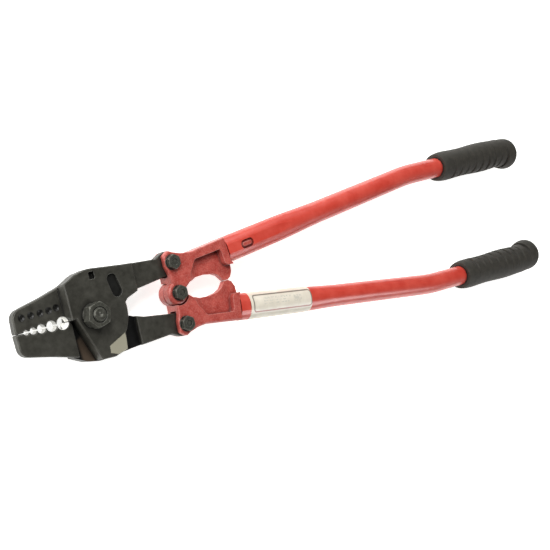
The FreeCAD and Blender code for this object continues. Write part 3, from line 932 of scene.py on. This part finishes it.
@dataclass(frozen=True)
class Lamp:
    """One square area light that looks at the tool."""

    name: str
    place: Spot
    size: float
    watts: float

    def build(self, target: Vector) -> None:
        """Hang the light.

        Args:
            target: The point it looks at.
        """
        data = bpy.data.lights.new(self.name, "AREA")
        data.size = self.size
        data.energy = self.watts
        lamp = bpy.data.objects.new(self.name, data)
        lamp.location = Vector(self.place)
        lamp.rotation_euler = (target - lamp.location).to_track_quat("-Z", "Y").to_euler()
        bpy.context.scene.collection.objects.link(lamp)


@dataclass
class Studio:
    """Floor, light and camera."""

    floor_colour: str = "#f4f4f2"
    floor_half: float = 6.0
    floor_roughness: float = 0.9
    floor_glow: float = 0.9
    sky_bright: float = 0.85
    sky_dim: float = 0.45
    sky_dim_toward: Spot = (0.67, 0.0, 0.74)
    sky_marks: Point = (0.2, 0.75)
    lamps: Tuple[Lamp, ...] = (
        Lamp("key", (-0.8, 0.8, 1.1), 0.7, 18.0), Lamp("left_low", (-0.85, 0.12, 0.32), 0.45, 2.0),
        Lamp("near_side", (0.7, -0.95, 0.7), 0.6, 7.0), Lamp("back_strip", (0.4, 1.3, 0.9), 0.5, 10.0))
    sensor_mm: float = 36.0
    lens_mm: float = 58.6473
    clip_start: float = 0.01
    aim: Vector = field(default_factory=lambda: Vector((-68.5, -6.3, 17.95)) * MM)
    distance: float = 0.737
    tilt: float = math.radians(41.9)
    lean: float = math.radians(2.42)
    roll: float = math.radians(13.02)

    def build(self) -> None:
        """Make the floor, the lights, the pale surround and the camera."""
        self.make_floor()
        for lamp in self.lamps:
            lamp.build(self.aim)
        self.make_surround()
        self.make_camera()

    def make_floor(self) -> None:
        """Lay a plain pale plane under the tool."""
        shell = bmesh.new()
        bmesh.ops.create_grid(shell, x_segments=1, y_segments=1, size=self.floor_half)
        mesh = bpy.data.meshes.new("floor")
        shell.to_mesh(mesh)
        shell.free()
        floor = bpy.data.objects.new("floor", mesh)
        bpy.context.scene.collection.objects.link(floor)
        material = bpy.data.materials.new("pale floor")
        material.use_nodes = True
        shader = material.node_tree.nodes["Principled BSDF"]
        shader.inputs["Base Color"].default_value = srgb(self.floor_colour)
        shader.inputs["Roughness"].default_value = self.floor_roughness
        shader.inputs["Emission Color"].default_value = srgb(self.floor_colour)
        shader.inputs["Emission Strength"].default_value = self.floor_glow
        mesh.materials.append(material)

    def make_surround(self) -> None:
        """Make an even pale surround that is dimmer where the tool would mirror it."""
        world = bpy.data.worlds.new("studio")
        world.use_nodes = True
        tree = world.node_tree
        place = add_node(tree, Kind.PLACE, {}, "Generated")
        facing = {"operation": "DOT_PRODUCT", 0: place, 1: self.sky_dim_toward}
        toward = add_node(tree, Kind.VECTOR, facing, "Value")
        near, far = self.sky_marks
        level = add_node(tree, Kind.RANGE, {**FALL, "From Min": near, "From Max": far,
                                            "To Min": self.sky_bright, "To Max": self.sky_dim,
                                            "Value": toward})
        tree.links.new(level, tree.nodes["Background"].inputs["Strength"])
        bpy.context.scene.world = world
        bpy.context.scene.view_settings.view_transform = "Standard"

    def make_camera(self) -> None:
        """Place the camera by its tilt, lean and roll about the point it looks at."""
        along = Vector((math.cos(self.tilt), 0, math.sin(self.tilt)))
        forward = Vector((math.sin(self.tilt), 0, -math.cos(self.tilt)))
        side = Vector((0, 1, 0))
        leaned_side = side * math.cos(self.lean) + forward * math.sin(self.lean)
        leaned_forward = forward * math.cos(self.lean) - side * math.sin(self.lean)
        right = along * math.cos(self.roll) - leaned_side * math.sin(self.roll)
        up = along * math.sin(self.roll) + leaned_side * math.cos(self.roll)
        turn = Matrix((right, up, -leaned_forward)).transposed().to_4x4()
        data = bpy.data.cameras.new("camera")
        data.sensor_width = self.sensor_mm
        data.lens = self.lens_mm
        data.clip_start = self.clip_start
        camera = bpy.data.objects.new("camera", data)
        camera.matrix_world = Matrix.Translation(self.aim - leaned_forward * self.distance) @ turn
        bpy.context.scene.collection.objects.link(camera)
        bpy.context.scene.camera = camera


def main() -> None:
    """Build every sub-assembly in order, then the studio."""
    logging.basicConfig(level=logging.INFO)
    for assembly in (Jaws(), Yokes(), Handles(), Studio()):
        assembly.build()
        LOG.info("built %s", type(assembly).__name__)


if __name__ == "__main__":
    main()
